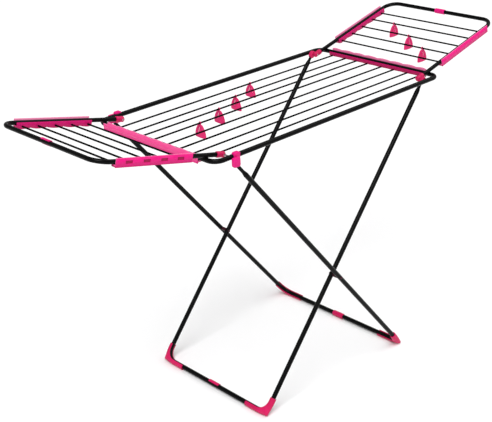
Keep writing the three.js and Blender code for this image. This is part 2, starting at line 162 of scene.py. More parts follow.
pinkLook = {
    "shade": (0.68, 0.006, 0.165, 1),
    "body": (0.82, 0.010, 0.225, 1),
    "flowScale": 26,
    "flowShare": 0.6,
    "flowRoughness": 0.1,
    "swirlScale": 9,
    "swirlShare": 0.4,
    "bodyBand": (0.36, 0.62),
    "grainScale": 1500,
    "grainStrength": 0.35,
    "grainHeight": 0.00003,
    "specular": 0.2,
    "IOR": 1.48,
}


def grain(finish):
    fine = finish.noise(pinkLook["grainScale"], detail=2, roughness=0.6)
    finish.feed("Normal", finish.bump(fine, pinkLook["grainStrength"], pinkLook["grainHeight"]))


def moulding(name, roughness, depth=(1.0, 1.0, 1.0)):
    # depth multiplies the red, green and blue of the pink; the shoe and clip copies use it to
    # darken and redden the pink as painted shade
    finish = Finish(name, Specular_IOR_Level=pinkLook["specular"], IOR=pinkLook["IOR"])
    flow = finish.noise(pinkLook["flowScale"], detail=3, roughness=0.55)
    swirl = finish.noise(pinkLook["swirlScale"], detail=2, roughness=0.5)
    mixed = pinkLook["flowShare"] * flow + pinkLook["swirlShare"] * swirl
    both = finish.band(mixed, *pinkLook["bodyBand"])
    shade = tuple(d * value for d, value in zip(depth, pinkLook["shade"])) + (1,)
    body = tuple(d * value for d, value in zip(depth, pinkLook["body"])) + (1,)
    finish.feed("Base Color", finish.mix(both, shade, body))
    finish.feed("Roughness", roughness + pinkLook["flowRoughness"] * flow)
    grain(finish)
    return finish.material


# The combs carry painted shade below the tube and a painted highlight along the thin wall above it.
combLightAndShade = {
    # deep is painted shade on the flange and lobes, pale is a painted highlight on the wall above
    # the tube
    "deep": (0.30, 0.002, 0.045, 1),
    "middle": (0.84, 0.009, 0.225, 1),
    "pale": (1.0, 0.30, 0.52, 1),
    "roughness": 0.33,
    "wanderScale": 40,
    "wander": 0.12,
}


def combMoulding(name):
    finish = Finish(name, Specular_IOR_Level=pinkLook["specular"], IOR=pinkLook["IOR"])
    # each point's painted light, from painted shade at 0 to painted highlight at 1, read from a
    # mesh attribute
    paintedLight = finish.node("ShaderNodeAttribute", {"attribute_name": "paintedLight"}, output="Fac")
    flow = finish.noise(combLightAndShade["wanderScale"], detail=3, roughness=0.55)
    shade = paintedLight + combLightAndShade["wander"] * flow - combLightAndShade["wander"] / 2
    low = finish.band(shade, 0.0, 0.5)
    high = finish.band(shade, 0.5, 1.0)
    lower = finish.mix(low, combLightAndShade["deep"], combLightAndShade["middle"])
    finish.feed("Base Color", finish.mix(high, lower, combLightAndShade["pale"]))
    finish.feed("Roughness", combLightAndShade["roughness"] + pinkLook["flowRoughness"] * flow)
    grain(finish)
    return finish.material


zincLook = {
    "bright": (0.62, 0.62, 0.64, 1),
    "dull": (0.36, 0.36, 0.38, 1),
    "turnScale": 260,
    "roughness": (0.24, 0.2),
    "bump": (0.2, 0.00003),
}


def zinc(name):
    finish = Finish(name, Metallic=1.0)
    turned = finish.noise(zincLook["turnScale"], detail=3, roughness=0.6)
    finish.feed("Base Color", finish.mix(turned, zincLook["dull"], zincLook["bright"]))
    least, spread = zincLook["roughness"]
    finish.feed("Roughness", least + spread * turned)
    finish.feed("Normal", finish.bump(turned, *zincLook["bump"]))
    return finish.material


rivetLook = {
    "deep": (0.016, 0.0022, 0.005, 1),
    "pale": (0.05, 0.005, 0.014, 1),
    "specular": 0.25,
    "scale": 60,
    "roughness": (0.36, 0.16),
}


def darkMoulding(name):
    finish = Finish(name, Specular_IOR_Level=rivetLook["specular"], IOR=pinkLook["IOR"])
    cloud = finish.noise(rivetLook["scale"], detail=3, roughness=0.55)
    finish.feed("Base Color", finish.mix(cloud, rivetLook["deep"], rivetLook["pale"]))
    least, spread = rivetLook["roughness"]
    finish.feed("Roughness", least + spread * cloud)
    return finish.material


tubeEnamel = enamel("tubeEnamel", roughness=0.3, specular=0.09)
wireEnamel = enamel("wireEnamel", roughness=0.5, specular=0.03)
pinkMoulding = moulding("pinkMoulding", roughness=0.34)
combPink = combMoulding("combMoulding")
# the shoe and clip mouldings are the pink darkened and reddened as painted shade
shoeMoulding = moulding("shoeMoulding", roughness=0.32, depth=(0.78, 1.3, 0.5))
clipMoulding = moulding("clipMoulding", roughness=0.38, depth=(0.93, 1.6, 0.72))
rivetMoulding = darkMoulding("rivetMoulding")
brightZinc = zinc("brightZinc")
slotLooks = {
    "tube_steel": tubeEnamel,
    "wire_steel": wireEnamel,
    "pink_plastic": pinkMoulding,
    "comb_plastic": combPink,
    "shoe_plastic": shoeMoulding,
    "clip_plastic": clipMoulding,
    "rivet_plastic": rivetMoulding,
    "pin_steel": brightZinc,
}
nodeSlots = {part["node"]: part["material_slot"] for part in frame["record"]["subparts"]}
nodeBodies = {
    node: body for body, nodes in frame["record"]["behaviour"]["bodies"].items() for node in nodes
}
for nodeName, carried in frame["nodes"].items():
    carried.data.materials.clear()
    carried.data.materials.append(slotLooks[nodeSlots[nodeName]])
print("finishes made")


# Mesh helpers

def place(name, mesh, nodes, matrix=None):
    # a finished mesh that stands for one CAD node, put where that node is
    if matrix is not None:
        mesh.transform(matrix)
    mesh.transform(Matrix.Scale(mm, 4))
    mesh.shade_smooth()
    mesh.set_sharp_from_angle(angle=math.radians(sharpAngle))
    piece = bpy.data.objects.new(name, mesh)
    bpy.context.scene.collection.objects.link(piece)
    node = nodes[0]
    piece.data.materials.clear()
    piece.data.materials.append(slotLooks[nodeSlots[node]])
    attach(piece, nodeBodies[node])
    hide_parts(*nodes)


def loft(name, rings, closed=False):
    # skin through rings of points, with flat ends unless it closes on itself
    grid = bmesh.new()
    rows = [[grid.verts.new(point) for point in ring] for ring in rings]
    count = len(rows[0])
    pairs = list(zip(rows, rows[1:]))
    if closed:
        pairs.append((rows[-1], rows[0]))
    for first, second in pairs:
        for i in range(count):
            j = (i + 1) % count
            grid.faces.new((first[i], first[j], second[j], second[i]))
    if not closed:
        grid.faces.new(list(reversed(rows[0])))
        grid.faces.new(rows[-1])
    bmesh.ops.recalc_face_normals(grid, faces=grid.faces)
    mesh = bpy.data.meshes.new(name)
    grid.to_mesh(mesh)
    grid.free()
    return mesh


def rounded(corners, radius, steps, closed=False):
    # points through the corners with each one rounded
    points = [] if closed else [corners[0]]
    count = len(corners)
    inner = range(count) if closed else range(1, count - 1)
    for i in inner:
        corner = corners[i]
        back = (corners[i - 1] - corner).normalized()
        ahead = (corners[(i + 1) % count] - corner).normalized()
        half = back.angle(ahead) / 2
        centre = corner + (back + ahead).normalized() * radius / math.sin(half)
        start = corner + back * radius / math.tan(half) - centre
        finish = corner + ahead * radius / math.tan(half) - centre
        axis = start.cross(finish)
        for k in range(steps + 1):
            turn = Matrix.Rotation((math.pi - 2 * half) * k / steps, 3, axis)
            points.append(centre + turn @ start)
    if not closed:
        points.append(corners[-1])
    return points


def spaced(points, longest):
    # extra points on long straight runs
    out = [points[0]]
    for first, second in zip(points, points[1:]):
        parts = max(1, math.ceil((second - first).length / longest))
        out += [first.lerp(second, k / parts) for k in range(1, parts + 1)]
    return out


def sweep(name, points, normal, outline, closed=False):
    # outline(i) gives station i's section: across in the bend's plane, then along its normal
    rings = []
    last = len(points) - 1
    for i, point in enumerate(points):
        before = points[i - 1] if i or closed else point
        after = points[(i + 1) % len(points)] if i < last or closed else point
        ahead = ((after - point).normalized() + (point - before).normalized()).normalized()
        side = ahead.cross(normal).normalized()
        rings.append([point + side * a + normal * b for a, b in outline(i)])
    return loft(name, rings, closed)


def disc(radius, count=28, flat=1.0, tall=1.0):
    turns = [2 * math.pi * k / count for k in range(count)]
    return [(radius * flat * math.cos(t), radius * tall * math.sin(t)) for t in turns]


def turned(name, profile, start, axis, count=36):
    # (distance along, radius) profile spun round an axis
    side = axis.orthogonal().normalized()
    other = axis.cross(side)
    rings = []
    for along, radius in profile:
        ring = []
        for k in range(count):
            t = 2 * math.pi * k / count
            ring.append(start + axis * along + (side * math.cos(t) + other * math.sin(t)) * radius)
        rings.append(ring)
    return loft(name, rings)


joinWithin = 0.002  # a plate's edge points closer than this become one


def plate(name, outlines, thickness, bevel, matrix):
    # a flat moulding with rounded edges from its outline and holes
    curve = bpy.data.curves.new(name, "CURVE")
    curve.dimensions = "2D"
    curve.fill_mode = "BOTH"
    curve.extrude = thickness / 2 - bevel
    curve.bevel_depth = bevel
    curve.bevel_resolution = 2
    curve.offset = -bevel
    for points in outlines:
        spline = curve.splines.new("POLY")
        spline.points.add(len(points) - 1)
        for point, (x, y) in zip(spline.points, points):
            point.co = (x, y, 0, 1)
        spline.use_cyclic_u = True
    holder = bpy.data.objects.new(name + "Curve", curve)
    bpy.context.scene.collection.objects.link(holder)
    graph = bpy.context.evaluated_depsgraph_get()
    mesh = bpy.data.meshes.new_from_object(holder.evaluated_get(graph))
    bpy.data.objects.remove(holder)
    bpy.data.curves.remove(curve)
    grid = bmesh.new()
    grid.from_mesh(mesh)
    bmesh.ops.remove_doubles(grid, verts=grid.verts, dist=joinWithin)
    bmesh.ops.recalc_face_normals(grid, faces=grid.faces)
    grid.to_mesh(mesh)
    grid.free()
    mesh.transform(matrix)
    return mesh


def oval(start, finish, radius, steps=8):
    # outline of a bar with round ends
    run = Vector(finish) - Vector(start)
    turn = math.atan2(run.y, run.x)
    points = []
    for centre, extra in ((finish, 0), (start, math.pi)):
        for k in range(steps + 1):
            t = turn - math.pi / 2 + extra + math.pi * k / steps
            points.append((centre[0] + radius * math.cos(t), centre[1] + radius * math.sin(t)))
    return points


def smoothStep(value):
    value = min(max(value, 0), 1)
    return value * value * (3 - 2 * value)


# Shared sizes

airer = {
    "halfLength": 486,
    "halfWidth": 260,
    "railHeight": 907,
    "railRadius": 7.2,
    "wireRadius": 2.75,
    "wireDrop": 2.7,
    "wireTuck": 1,
    "wireTip": (0.5, 0.7),
    "wireSides": 12,
    "hingeX": 429,
    "wingRadius": 6.6,
    "wingArm": 225,
    "wingReach": 420,
    "restLift": 13.8,
    "legRadius": 7.5,
}
railHeight = airer["railHeight"]
wingTilt = math.asin(airer["restLift"] / (airer["halfLength"] - airer["hingeX"]))


def wireDrop(tubeRadius):
    # from the middle of a tube down to the middle of a wire under it
    return tubeRadius + airer["wireDrop"]


def wireMesh(name, start, axis):
    # a wire whose middle crosses the frame's middle, with its ends taken off
    length = 2 * abs(start.dot(axis))
    radius = airer["wireRadius"]
    tip, share = airer["wireTip"]
    profile = [(0, radius * share), (tip, radius), (length - tip, radius), (length, radius * share)]
    return turned(name, profile, start, axis, airer["wireSides"])


# Combs: the tube runs along X and the wires come from +Y

comb = {
    "gap": 0.3,
    "wall": 1.7,
    "rise": 4.2,
    "flangeTop": 2.2,
    "drop": 4.2,
    "skirt": 1.4,
    "lobeBase": 0.2,
    "lobe": 3.4,
    "lobeEdge": 0.9,
    "crown": 0.5,
    "crownShare": 0.6,
    "recessHalf": 11,
    "recessSlope": 0.5,
    "recessDepth": 1.15,
    "recessLow": -5.6,
    "recessHigh": 2.6,
    "tailDrop": 1,
    "stations": 160,
    "slack": 0.01,
    # painted light on the outer face; inside the recesses the face takes darker painted shade from
    # the section
    "facePaintedLight": 0.47,
    # round the section: side and distance from it, level and distance from it, painted light from
    # painted shade at 0 to painted highlight at 1
    "section": (
        ("outer", 2.4, "floor", 0, 0.0),
        ("outer", 1.2, "skirt", 0, 0.0),
        ("outer", 0.3, "skirt", 0.2, 0.1),
        ("outer", 0, "skirt", 1.0, 0.32),
        ("crown", 0, "recessLow", 0, 0.46),
        ("face", 0, "recessLow", 0.3, 0.08),
        ("face", 0, "recessHigh", -0.3, 0.08),
        ("crown", 0, "recessHigh", 0, 0.5),
        ("outer", 0, "high", -1.2, 0.52),
        ("outer", 0.25, "high", -0.4, 0.86),
        ("outer", 0.9, "high", 0, 1),
        ("outer", 1.4, "high", -0.3, 1),
        ("wall", 0, "high", -1.0, 1),
        ("wall", 0, "seat", 0, 0.95),
        ("inner", 0, "seat", 0, 0.05),
        ("inner", 0, "top", -1.0, 0.05),
        ("inner", 0.3, "top", -0.2, 0.2),
        ("inner", 0.9, "top", 0, 0.3),
        ("lip", -0.3, "top", -0.3, 0.4),
        ("lip", 0, "top", -1.0, 0.3),
        ("lip", 0, "low", 0.9, 0.16),
        ("lip", -0.3, "low", 0.2, 0.12),
        ("lip", -0.9, "low", 0, 0.0),
        ("lip", -1.4, "low", 0.2, 0.0),
        ("inner", 0, "under", 0, 0.0),
        ("inner", -0.4, "floor", 0, 0.0),
    ),
}


def combStations(start, finish, ordered, recesses):
    count = comb["stations"]
    stations = [start + (finish - start) * k / count for k in range(count + 1)]
    for middle in recesses:
        for edge in (-1, 1):
            inside = middle + edge * comb["recessHalf"]
            stations += [inside, inside + edge * comb["recessSlope"]]
    stations += [(first + second) / 2 for first, second in zip(ordered, ordered[1:])]
    return sorted(set(round(x, 3) for x in stations))


def combMesh(
    name, start, finish, tubeRadius, places, crest=0.0, recesses=(), tail=0.0, depth=1.0, lightShift=0.0
):
    # crest raises the outer wall over each wire, depth scales the inner flange, lightShift moves
    # the painted light and shade, and the tail carries the channel on past its start, below the
    # wing's arm
    seat = tubeRadius + comb["gap"]
    outer = -(seat + comb["wall"])
    floor = -(wireDrop(tubeRadius) + comb["drop"] * depth)
    ordered = sorted(places)
    gaps = [second - first for first, second in zip(ordered, ordered[1:])]
    sides = {
        "outer": outer,
        "crown": outer - comb["crownShare"] * comb["crown"],
        "wall": outer + comb["wall"],
        "inner": seat,
        "lip": seat + comb["wall"],
    }
    levels = {
        "floor": floor,
        "skirt": -(wireDrop(tubeRadius) + comb["drop"] + comb["skirt"]),
        "recessLow": comb["recessLow"],
        "recessHigh": comb["recessHigh"],
        "seat": -seat,
        "top": comb["flangeTop"],
    }

    def scallop(x):
        # 1 over a wire, 0 half way to its neighbour
        best = 0
        for i, middle in enumerate(ordered):
            left = gaps[i - 1] / 2 if i else middle - start
            right = gaps[i] / 2 if i < len(gaps) else finish - middle
            reach = left if x < middle else right
            if reach > 0 and abs(x - middle) <= reach:
                best = max(best, 1 - ((x - middle) / reach) ** 2)
        return best

    rings = []
    paintedLights = []
    for x in combStations(start - tail, finish, ordered, recesses):
        arch = scallop(x)
        crestHeight = tubeRadius + comb["rise"] + crest * arch
        sunk = any(abs(x - middle) <= comb["recessHalf"] + comb["slack"] for middle in recesses)
        low = floor - comb["lobeBase"] - comb["lobe"] * depth * arch
        levels["low"] = low
        levels["under"] = min(low + comb["lobeEdge"], floor)
        levels["high"] = tubeRadius - comb["tailDrop"] if x < start - comb["slack"] else crestHeight
        sides["face"] = outer + (comb["recessDepth"] if sunk else -comb["crown"])
        ring = []
        for side, aside, level, above, paintedLight in comb["section"]:
            ring.append(Vector((x, sides[side] + aside, levels[level] + above)))
            # painted shade is darker inside the recesses, and lightShift moves the whole comb's
            # painted light
            paintedLights.append((comb["facePaintedLight"] if side == "face" and not sunk else paintedLight) + lightShift)
        rings.append(ring)
    mesh = loft(name, rings)
    paintedLight = mesh.attributes.new("paintedLight", "FLOAT", "POINT")
    paintedLight.data.foreach_set("value", paintedLights)
    return mesh


# Rack

rack = {
    "corner": 30,
    "cornerSteps": 14,
    "wireMargin": 69,
    "wireShares": (1, 0.69, 0.43, 0.17, -0.15, -0.43, -0.73, -1),
    "combMargin": 14,
    "crest": 2.6,
    "farTail": 20,
    "nearTrim": 7,
    "leftDepth": 0.45,
    "rightDepth": 0.2,
    # painted light for each end comb: the left one painted lighter, the right one painted darker
    "leftGlow": 0.12,
    "rightGlow": -0.12,
}


def buildRack():
    long = airer["halfLength"]
    wide = airer["halfWidth"]
    corners = [
        Vector((x * long, y * wide, railHeight)) for x, y in ((1, -1), (1, 1), (-1, 1), (-1, -1))
    ]
    points = rounded(corners, rack["corner"], rack["cornerSteps"], True)
    section = disc(airer["railRadius"])
    ring = sweep("rackRing", points, up, lambda i: section, True)
    place("rackRing", ring, ["rack_frame"])
    wired = wide - rack["wireMargin"]
    wireEnd = long + airer["railRadius"] - airer["wireTuck"]
    level = railHeight - wireDrop(airer["railRadius"])
    places = [share * wired for share in rack["wireShares"]]
    for i, y in enumerate(places):
        wire = wireMesh("rackWire", Vector((-wireEnd, y, level)), lengthways)
        place(f"rackWire{i + 1}", wire, [f"rack_wire_{i + 1}"])
    span = wired + rack["combMargin"]
    for name, side in (("left", -1), ("right", 1)):
        marks = [side * y for y in places]
        tail, trim = (rack["farTail"], rack["nearTrim"]) if side < 0 else (0, 0)
        mesh = combMesh(
            name + "EndComb",
            -span,
            span - trim,
            airer["railRadius"],
            marks,
            crest=rack["crest"],
            tail=tail,
            depth=rack[name + "Depth"],
            lightShift=rack[name + "Glow"],
        )
        turn = Matrix.Rotation(side * math.pi / 2, 4, "Z")
        spot = Matrix.Translation((side * long, 0, railHeight))
        place(name + "EndComb", mesh, [name + "_end_comb"], spot @ turn)


buildRack()
print("rack made")


# Wings, each built flat along +X from its hinge

wing = {
    "start": 10,
    "corner": 45,
    "cornerSteps": 14,
    "longest": 12,
    "sides": 24,
    "wires": (68.5, 120.5, 178.5, 234.5, 291.5),
    "combStart": 50,
    "combMargin": 14,
    "flatStart": 58,
    "flatEnd": 30,
    "flat": 0.85,
    "swell": 0.06,
    "recessPlaces": (42, 100, 158, 214),
}
wingCap = {
    "shift": -8,
    "sides": 28,
    # distance from the closed end, radius
    "profile": (
        (0, 3),
        (0.4, 6),
        (1.6, 7.9),
        (3.6, 9),
        (12, 9),
        (14, 7.9),
        (16, 7.9),
        (17, 9),
        (28, 9),
        (29.6, 8.4),
        (30, 7.4),
        (30, 6.4),
    ),
}
sleeve = {
    "wall": 2.0,
    "gap": 0.2,
    "cover": 104,
    "rise": 26,
    "halfSteps": 12,
    "wingLength": 40,
    "footLength": 46,
    "edge": ((0, 0.9), (0.4, 0.25), (1.3, 0)),
    "groove": 0.5,
    "grooveAt": 6,
    "grooveHalf": (0.7, 0.4),
}


def wingMatrix(side):
    tilt = Matrix.Rotation(-wingTilt, 4, "Y")
    face = Matrix.Rotation(0 if side > 0 else math.pi, 4, "Z")
    return Matrix.Translation((side * airer["hingeX"], 0, railHeight)) @ face @ tilt


def sleeveMesh(name, middle, inward, tubeRadius, length):
    # an open C along Y that faces inward and up
    inner = tubeRadius + sleeve["gap"]
    outer = inner + sleeve["wall"]
    groove = outer - sleeve["groove"]
    half = length / 2
    at = half - sleeve["grooveAt"]
    wide, narrow = sleeve["grooveHalf"]
    stations = [(-half + y, outer - less) for y, less in sleeve["edge"]]
    stations += [(-at - wide, outer), (-at - narrow, groove)]
    stations += [(-at + narrow, groove), (-at + wide, outer)]
    stations += [(-y, r) for y, r in reversed(stations)]
    rings = []
    for y, radius in stations:
        arc = []
        for k in range(2 * sleeve["halfSteps"] + 1):
            turn = math.radians(sleeve["rise"] + sleeve["cover"] * (k / sleeve["halfSteps"] - 1))
            arc.append((inward * math.cos(turn), math.sin(turn)))
        ring = [(a * radius, b * radius) for a, b in arc]
        ring += [(a * inner, b * inner) for a, b in reversed(arc)]
        rings.append([middle + Vector((a, y, b)) for a, b in ring])
    return loft(name, rings)


def buildWing(name, side):
    matrix = wingMatrix(side)
    arm = airer["wingArm"]
    reach = airer["wingReach"]
    radius = airer["wingRadius"]
    ends = ((wing["start"], -arm), (reach, -arm), (reach, arm), (wing["start"], arm))
    corners = [Vector((x, y, 0)) for x, y in ends]
    points = spaced(rounded(corners, wing["corner"], wing["cornerSteps"]), wing["longest"])

    def outline(i):
        # the arms are pressed a little flat by the hinge
        past = wing["flatStart"] - points[i].x
        share = smoothStep(past / (wing["flatStart"] - wing["flatEnd"]))
        thickness = 1 - (1 - wing["flat"]) * share
        return disc(radius, wing["sides"], thickness, 1 + wing["swell"] * share)

    tube = sweep(name + "WingTube", points, up, outline)
    place(name + "WingTube", tube, [name + "_wing_frame"], matrix)
    level = -wireDrop(radius)
    wireEnd = arm + radius - airer["wireTuck"]
    places = [reach - inset for inset in wing["wires"]]
    for i, x in enumerate(places):
        wire = wireMesh("wingWire", Vector((x, -wireEnd, level)), crossways)
        place(f"{name}WingWire{i + 1}", wire, [f"{name}_wing_wire_{i + 1}"], matrix)
    combEnd = min(places) - wing["combMargin"]
    combTop = reach - wing["combStart"]
    for edgeName, edge in (("far", side), ("near", -side)):
        low, high = (-combTop, -combEnd) if edge > 0 else (combEnd, combTop)
        marked = (side, edgeName) in ((-1, "near"), (1, "far"))
        recesses = [low + at for at in wing["recessPlaces"]] if marked else []
        under = [-edge * x for x in places]
        mesh = combMesh(name + edgeName, low, high, radius, under, recesses=recesses)
        turn = Matrix.Rotation(math.pi if edge > 0 else 0, 4, "Z")
        spot = matrix @ (Matrix.Translation((0, edge * arm, 0)) @ turn)
        title = edgeName.capitalize()
        place(f"{name}Wing{title}Comb", mesh, [f"{name}_wing_{edgeName}_comb"], spot)
        start = Vector((wingCap["shift"], edge * arm, 0))
        profile = wingCap["profile"]
        cap = turned(name + edgeName + "Cap", profile, start, lengthways, wingCap["sides"])
        place(f"{name}Wing{title}Cap", cap, [f"{name}_wing_{edgeName}_cap"], matrix)
    middle = Vector((reach, 0, 0))
    band = sleeveMesh(name + "WingSleeve", middle, -1, radius, sleeve["wingLength"])
    place(name + "WingSleeve", band, [name + "_wing_sleeve"], matrix)
    return matrix


rightWingMatrix = buildWing("right", 1)
buildWing("left", -1)
print("wings made")


# Legs: two U frames of tube whose top ends are pressed flat

legs = {
    "corner": 40,
    "cornerSteps": 16,
    "longest": 7,
    "closest": 0.5,
    "sides": 28,
    "outerWidth": 550,
    "innerWidth": 484,
    "outerTop": (-439, 907),
    "outerFoot": (281, 11),
    "innerTop": (429, 907),
    "innerFoot": (-326, 11),
    "outerTopStop": 14,
    "innerTopStop": 2,
    # flat down to, round again from, thickness left, width left
    "outerPressed": (62, 76, 0.42, 0.72),
    "innerPressed": (22, 44, 0.4, 0.85),
}


def legPlace(top, foot, distance, y):
    start = Vector((top[0], 0, top[1]))
    finish = Vector((foot[0], 0, foot[1]))
    point = start + (finish - start).normalized() * distance
    return Vector((point.x, y, point.z))


def legLength(top, foot):
    return math.hypot(foot[0] - top[0], foot[1] - top[1])


def legNormal(top, foot):
    run = Vector((foot[0] - top[0], 0, foot[1] - top[1])).normalized()
    return run.cross(crossways).normalized()


def buildLeg(name, node, top, foot, width, stop, pressed):
    length = legLength(top, foot)
    half = width / 2
    corners = [
        legPlace(top, foot, stop, -half),
        legPlace(top, foot, length, -half),
        legPlace(top, foot, length, half),
        legPlace(top, foot, stop, half),
    ]
    topPoint = Vector((top[0], 0, top[1]))
    points = [corners[0]]
    for point in spaced(rounded(corners, legs["corner"], legs["cornerSteps"]), legs["longest"]):
        if (point - points[-1]).length > legs["closest"]:
            points.append(point)
    flatEnd, roundStart, thin, tall = pressed

    def outline(i):
        down = (Vector((points[i].x, 0, points[i].z)) - topPoint).length
        share = 1 - smoothStep((down - flatEnd) / (roundStart - flatEnd))
        thickness = 1 - (1 - thin) * share
        return disc(airer["legRadius"], legs["sides"], thickness, 1 - (1 - tall) * share)

    place(name, sweep(name, points, legNormal(top, foot), outline), [node])


outer = (legs["outerTop"], legs["outerFoot"], legs["outerWidth"])
inner = (legs["innerTop"], legs["innerFoot"], legs["innerWidth"])
buildLeg("outerLeg", "outer_leg_frame", *outer, legs["outerTopStop"], legs["outerPressed"])
buildLeg("innerLeg", "inner_leg_frame", *inner, legs["innerTopStop"], legs["innerPressed"])
print("legs made")


# Moulded fittings at the ends and crossing of the legs

fitting = {
    "claspMiddle": -413,
    "claspLength": 22,
    "claspRadius": 10.6,
    "claspInner": 3,
    "claspAbove": 12,
    "claspBelow": 23,
    "claspCorner": 5,
    "hookShift": -12.5,
    "hookLength": 25,
    "hookAbove": 2,
    "hookBelow": 25,
    "hookCorner": 6,
    "hookMiddle": 277,
    "hookThickness": 11,
    "bevel": 1.6,
    "stepBelow": 2,
    "stepFade": 4,
    "capRadius": 9,
    "capReach": 8,
    "capThickness": 14,
    "capBevel": 2.2,
    "pinRadius": 3,
    "pinBevel": 0.6,
    "pinInside": 9.5,
    "pinOutside": 2,
    "pinTip": 0.01,
    "pinSides": 24,
}
rivet = {
    "inside": 16.2,
    "outside": 17.2,
    # line it is measured from, distance past it, radius
    "profile": (
        ("first", 0, 0.01),
        ("first", 0, 3.4),
        ("first", 0.5, 4.2),
        ("first", 1.4, 4.6),
        ("inner", 0.4, 4.6),
        ("inner", 0.6, 6.0),
        ("inner", 1.1, 6.5),
        ("outer", -1.1, 6.5),
        ("outer", -0.6, 6.0),
        ("outer", -0.4, 5.0),
        ("last", -1.6, 5.0),
        ("last", -0.6, 4.4),
        ("last", 0, 3.2),
        ("last", 0, 0.01),
    ),
}


def roundedBox(low, high, radius, steps=6):
    points = []
    corners = ((high[0], high[1]), (low[0], high[1]), (low[0], low[1]), (high[0], low[1]))
    for i, (x, y) in enumerate(corners):
        centreX = x - radius if x == high[0] else x + radius
        centreY = y - radius if y == high[1] else y + radius
        for k in range(steps + 1):
            turn = math.pi / 2 * (i + k / steps)
            points.append((centreX + radius * math.cos(turn), centreY + radius * math.sin(turn)))
    return points


def stand(y):
    # a plate drawn in X and Y, stood up in X and Z with its middle at y
    return Matrix.Translation((0, y, 0)) @ Matrix.Rotation(math.pi / 2, 4, "X")


def plateXZ(name, shape, thickness, bevel, y):
    # a flat moulding drawn in X and Z with its middle at y
    return plate(name, [shape], thickness, bevel, stand(y))


def buildHookAndClasp(edgeName, edge):
    title = edgeName.capitalize()
    middle = fitting["claspMiddle"]
    half = fitting["hookLength"] / 2
    hookMiddle = middle + fitting["hookShift"]
    low = (hookMiddle - half, railHeight - fitting["hookBelow"])
    high = (hookMiddle + half, railHeight + fitting["hookAbove"])
    shape = roundedBox(low, high, fitting["hookCorner"])
    thickness = fitting["hookThickness"]
    bevel = fitting["bevel"]
    hook = plateXZ("hook", shape, thickness, bevel, edge * fitting["hookMiddle"])
    place(f"outer{title}Hook", hook, [f"outer_leg_{edgeName}_hook"])
    half = fitting["claspLength"] / 2
    low = (middle - half, railHeight - fitting["claspBelow"])
    high = (middle + half, railHeight + fitting["claspAbove"])
    shape = roundedBox(low, high, fitting["claspCorner"])
    inside = airer["halfWidth"] - fitting["claspInner"]
    outside = airer["halfWidth"] + fitting["claspRadius"]
    railSide = airer["halfWidth"] + airer["railRadius"] + comb["gap"]
    clasp = plateXZ("clasp", shape, outside - inside, bevel, edge * (inside + outside) / 2)
    for vertex in clasp.vertices:
        # below the rail's centre the block stops at the rail's side, clear of the folded leg
        below = railHeight - fitting["stepBelow"] - vertex.co.z
        beyond = max(edge * vertex.co.y - railSide, 0)
        vertex.co.y -= edge * beyond * smoothStep(below / fitting["stepFade"])
    place(f"rail{title}Clasp", clasp, [f"rail_clasp_{edgeName}"])


def legCrossing():
    start, foot, _ = outer
    otherStart, otherFoot, _ = inner
    run = Vector((foot[0] - start[0], 0, foot[1] - start[1]))
    other = Vector((otherFoot[0] - otherStart[0], 0, otherFoot[1] - otherStart[1]))
    gap = Vector((otherStart[0] - start[0], 0, 0))
    share = (gap.x * other.z - gap.z * other.x) / (run.x * other.z - run.z * other.x)
    return Vector((start[0], 0, start[1])) + run * share


def buildCapAndRivet(edgeName, edge):
    title = edgeName.capitalize()
    top = legs["innerTop"]
    down = legPlace(top, legs["innerFoot"], fitting["capReach"], 0)
    shape = oval(top, (down.x, down.z), fitting["capRadius"])
    middle = edge * legs["innerWidth"] / 2
    cap = plateXZ("cap", shape, fitting["capThickness"], fitting["capBevel"], middle)
    place(f"inner{title}Cap", cap, [f"inner_leg_{edgeName}_cap"])
    lines = {
        "inner": legs["innerWidth"] / 2 + airer["legRadius"],
        "outer": legs["outerWidth"] / 2 - airer["legRadius"],
    }
    lines["first"] = lines["inner"] - rivet["inside"]
    lines["last"] = lines["outer"] + rivet["outside"]
    profile = [(lines[line] + past, radius) for line, past, radius in rivet["profile"]]
    mesh = turned("rivet", profile, legCrossing(), edge * crossways)
    place(f"leg{title}Rivet", mesh, [f"{edgeName}_leg_rivet"])


def buildPins():
    size = fitting["pinRadius"]
    bevel = fitting["pinBevel"]
    first = airer["wingArm"] - fitting["pinInside"]
    last = airer["halfWidth"] + fitting["pinOutside"]
    profile = [
        (first, fitting["pinTip"]),
        (first, size - bevel),
        (first + bevel, size),
        (last - bevel, size),
        (last, size - bevel),
        (last, fitting["pinTip"]),
    ]
    for sideName, side in (("right", 1), ("left", -1)):
        start = Vector((side * airer["hingeX"], 0, railHeight))
        for edgeName, edge in (("far", 1), ("near", -1)):
            pin = turned("pin", profile, start, edge * crossways, fitting["pinSides"])
            title = edgeName.capitalize()
            place(f"{sideName}{title}Pin", pin, [f"{sideName}_{edgeName}_hinge_pin"])


for edgeName, edge in (("far", 1), ("near", -1)):
    buildHookAndClasp(edgeName, edge)
    buildCapAndRivet(edgeName, edge)
buildPins()
print("fittings made")


# Corner shoes: an open channel round the outside of each foot corner

shoe = {
    "radius": 10.6,
    "gap": 0.25,
    "up": 52,
    "along": 88,
    "open": 118,
    "openSteps": 18,
    "square": 0.72,
    "bendSteps": 24,
    "upSteps": 3,
    "alongSteps": 6,
    "floorGap": 0.15,
}


def shoeSection(stretch):
    # half turns from one lip, over the outside, to the other lip, then back inside
    outside = []
    inside = []
    bore = airer["legRadius"] + shoe["gap"]
    for k in range(shoe["openSteps"] + 1):
        turn = math.radians(-shoe["open"] + 2 * shoe["open"] * k / shoe["openSteps"])
        a = math.cos(turn)
        b = math.sin(turn)
        reach = shoe["radius"] * (stretch if a > 0 else 1)
        outside.append((a * reach, b * shoe["radius"]))
        inside.append((a * bore, b * bore))
    return outside + inside[::-1]


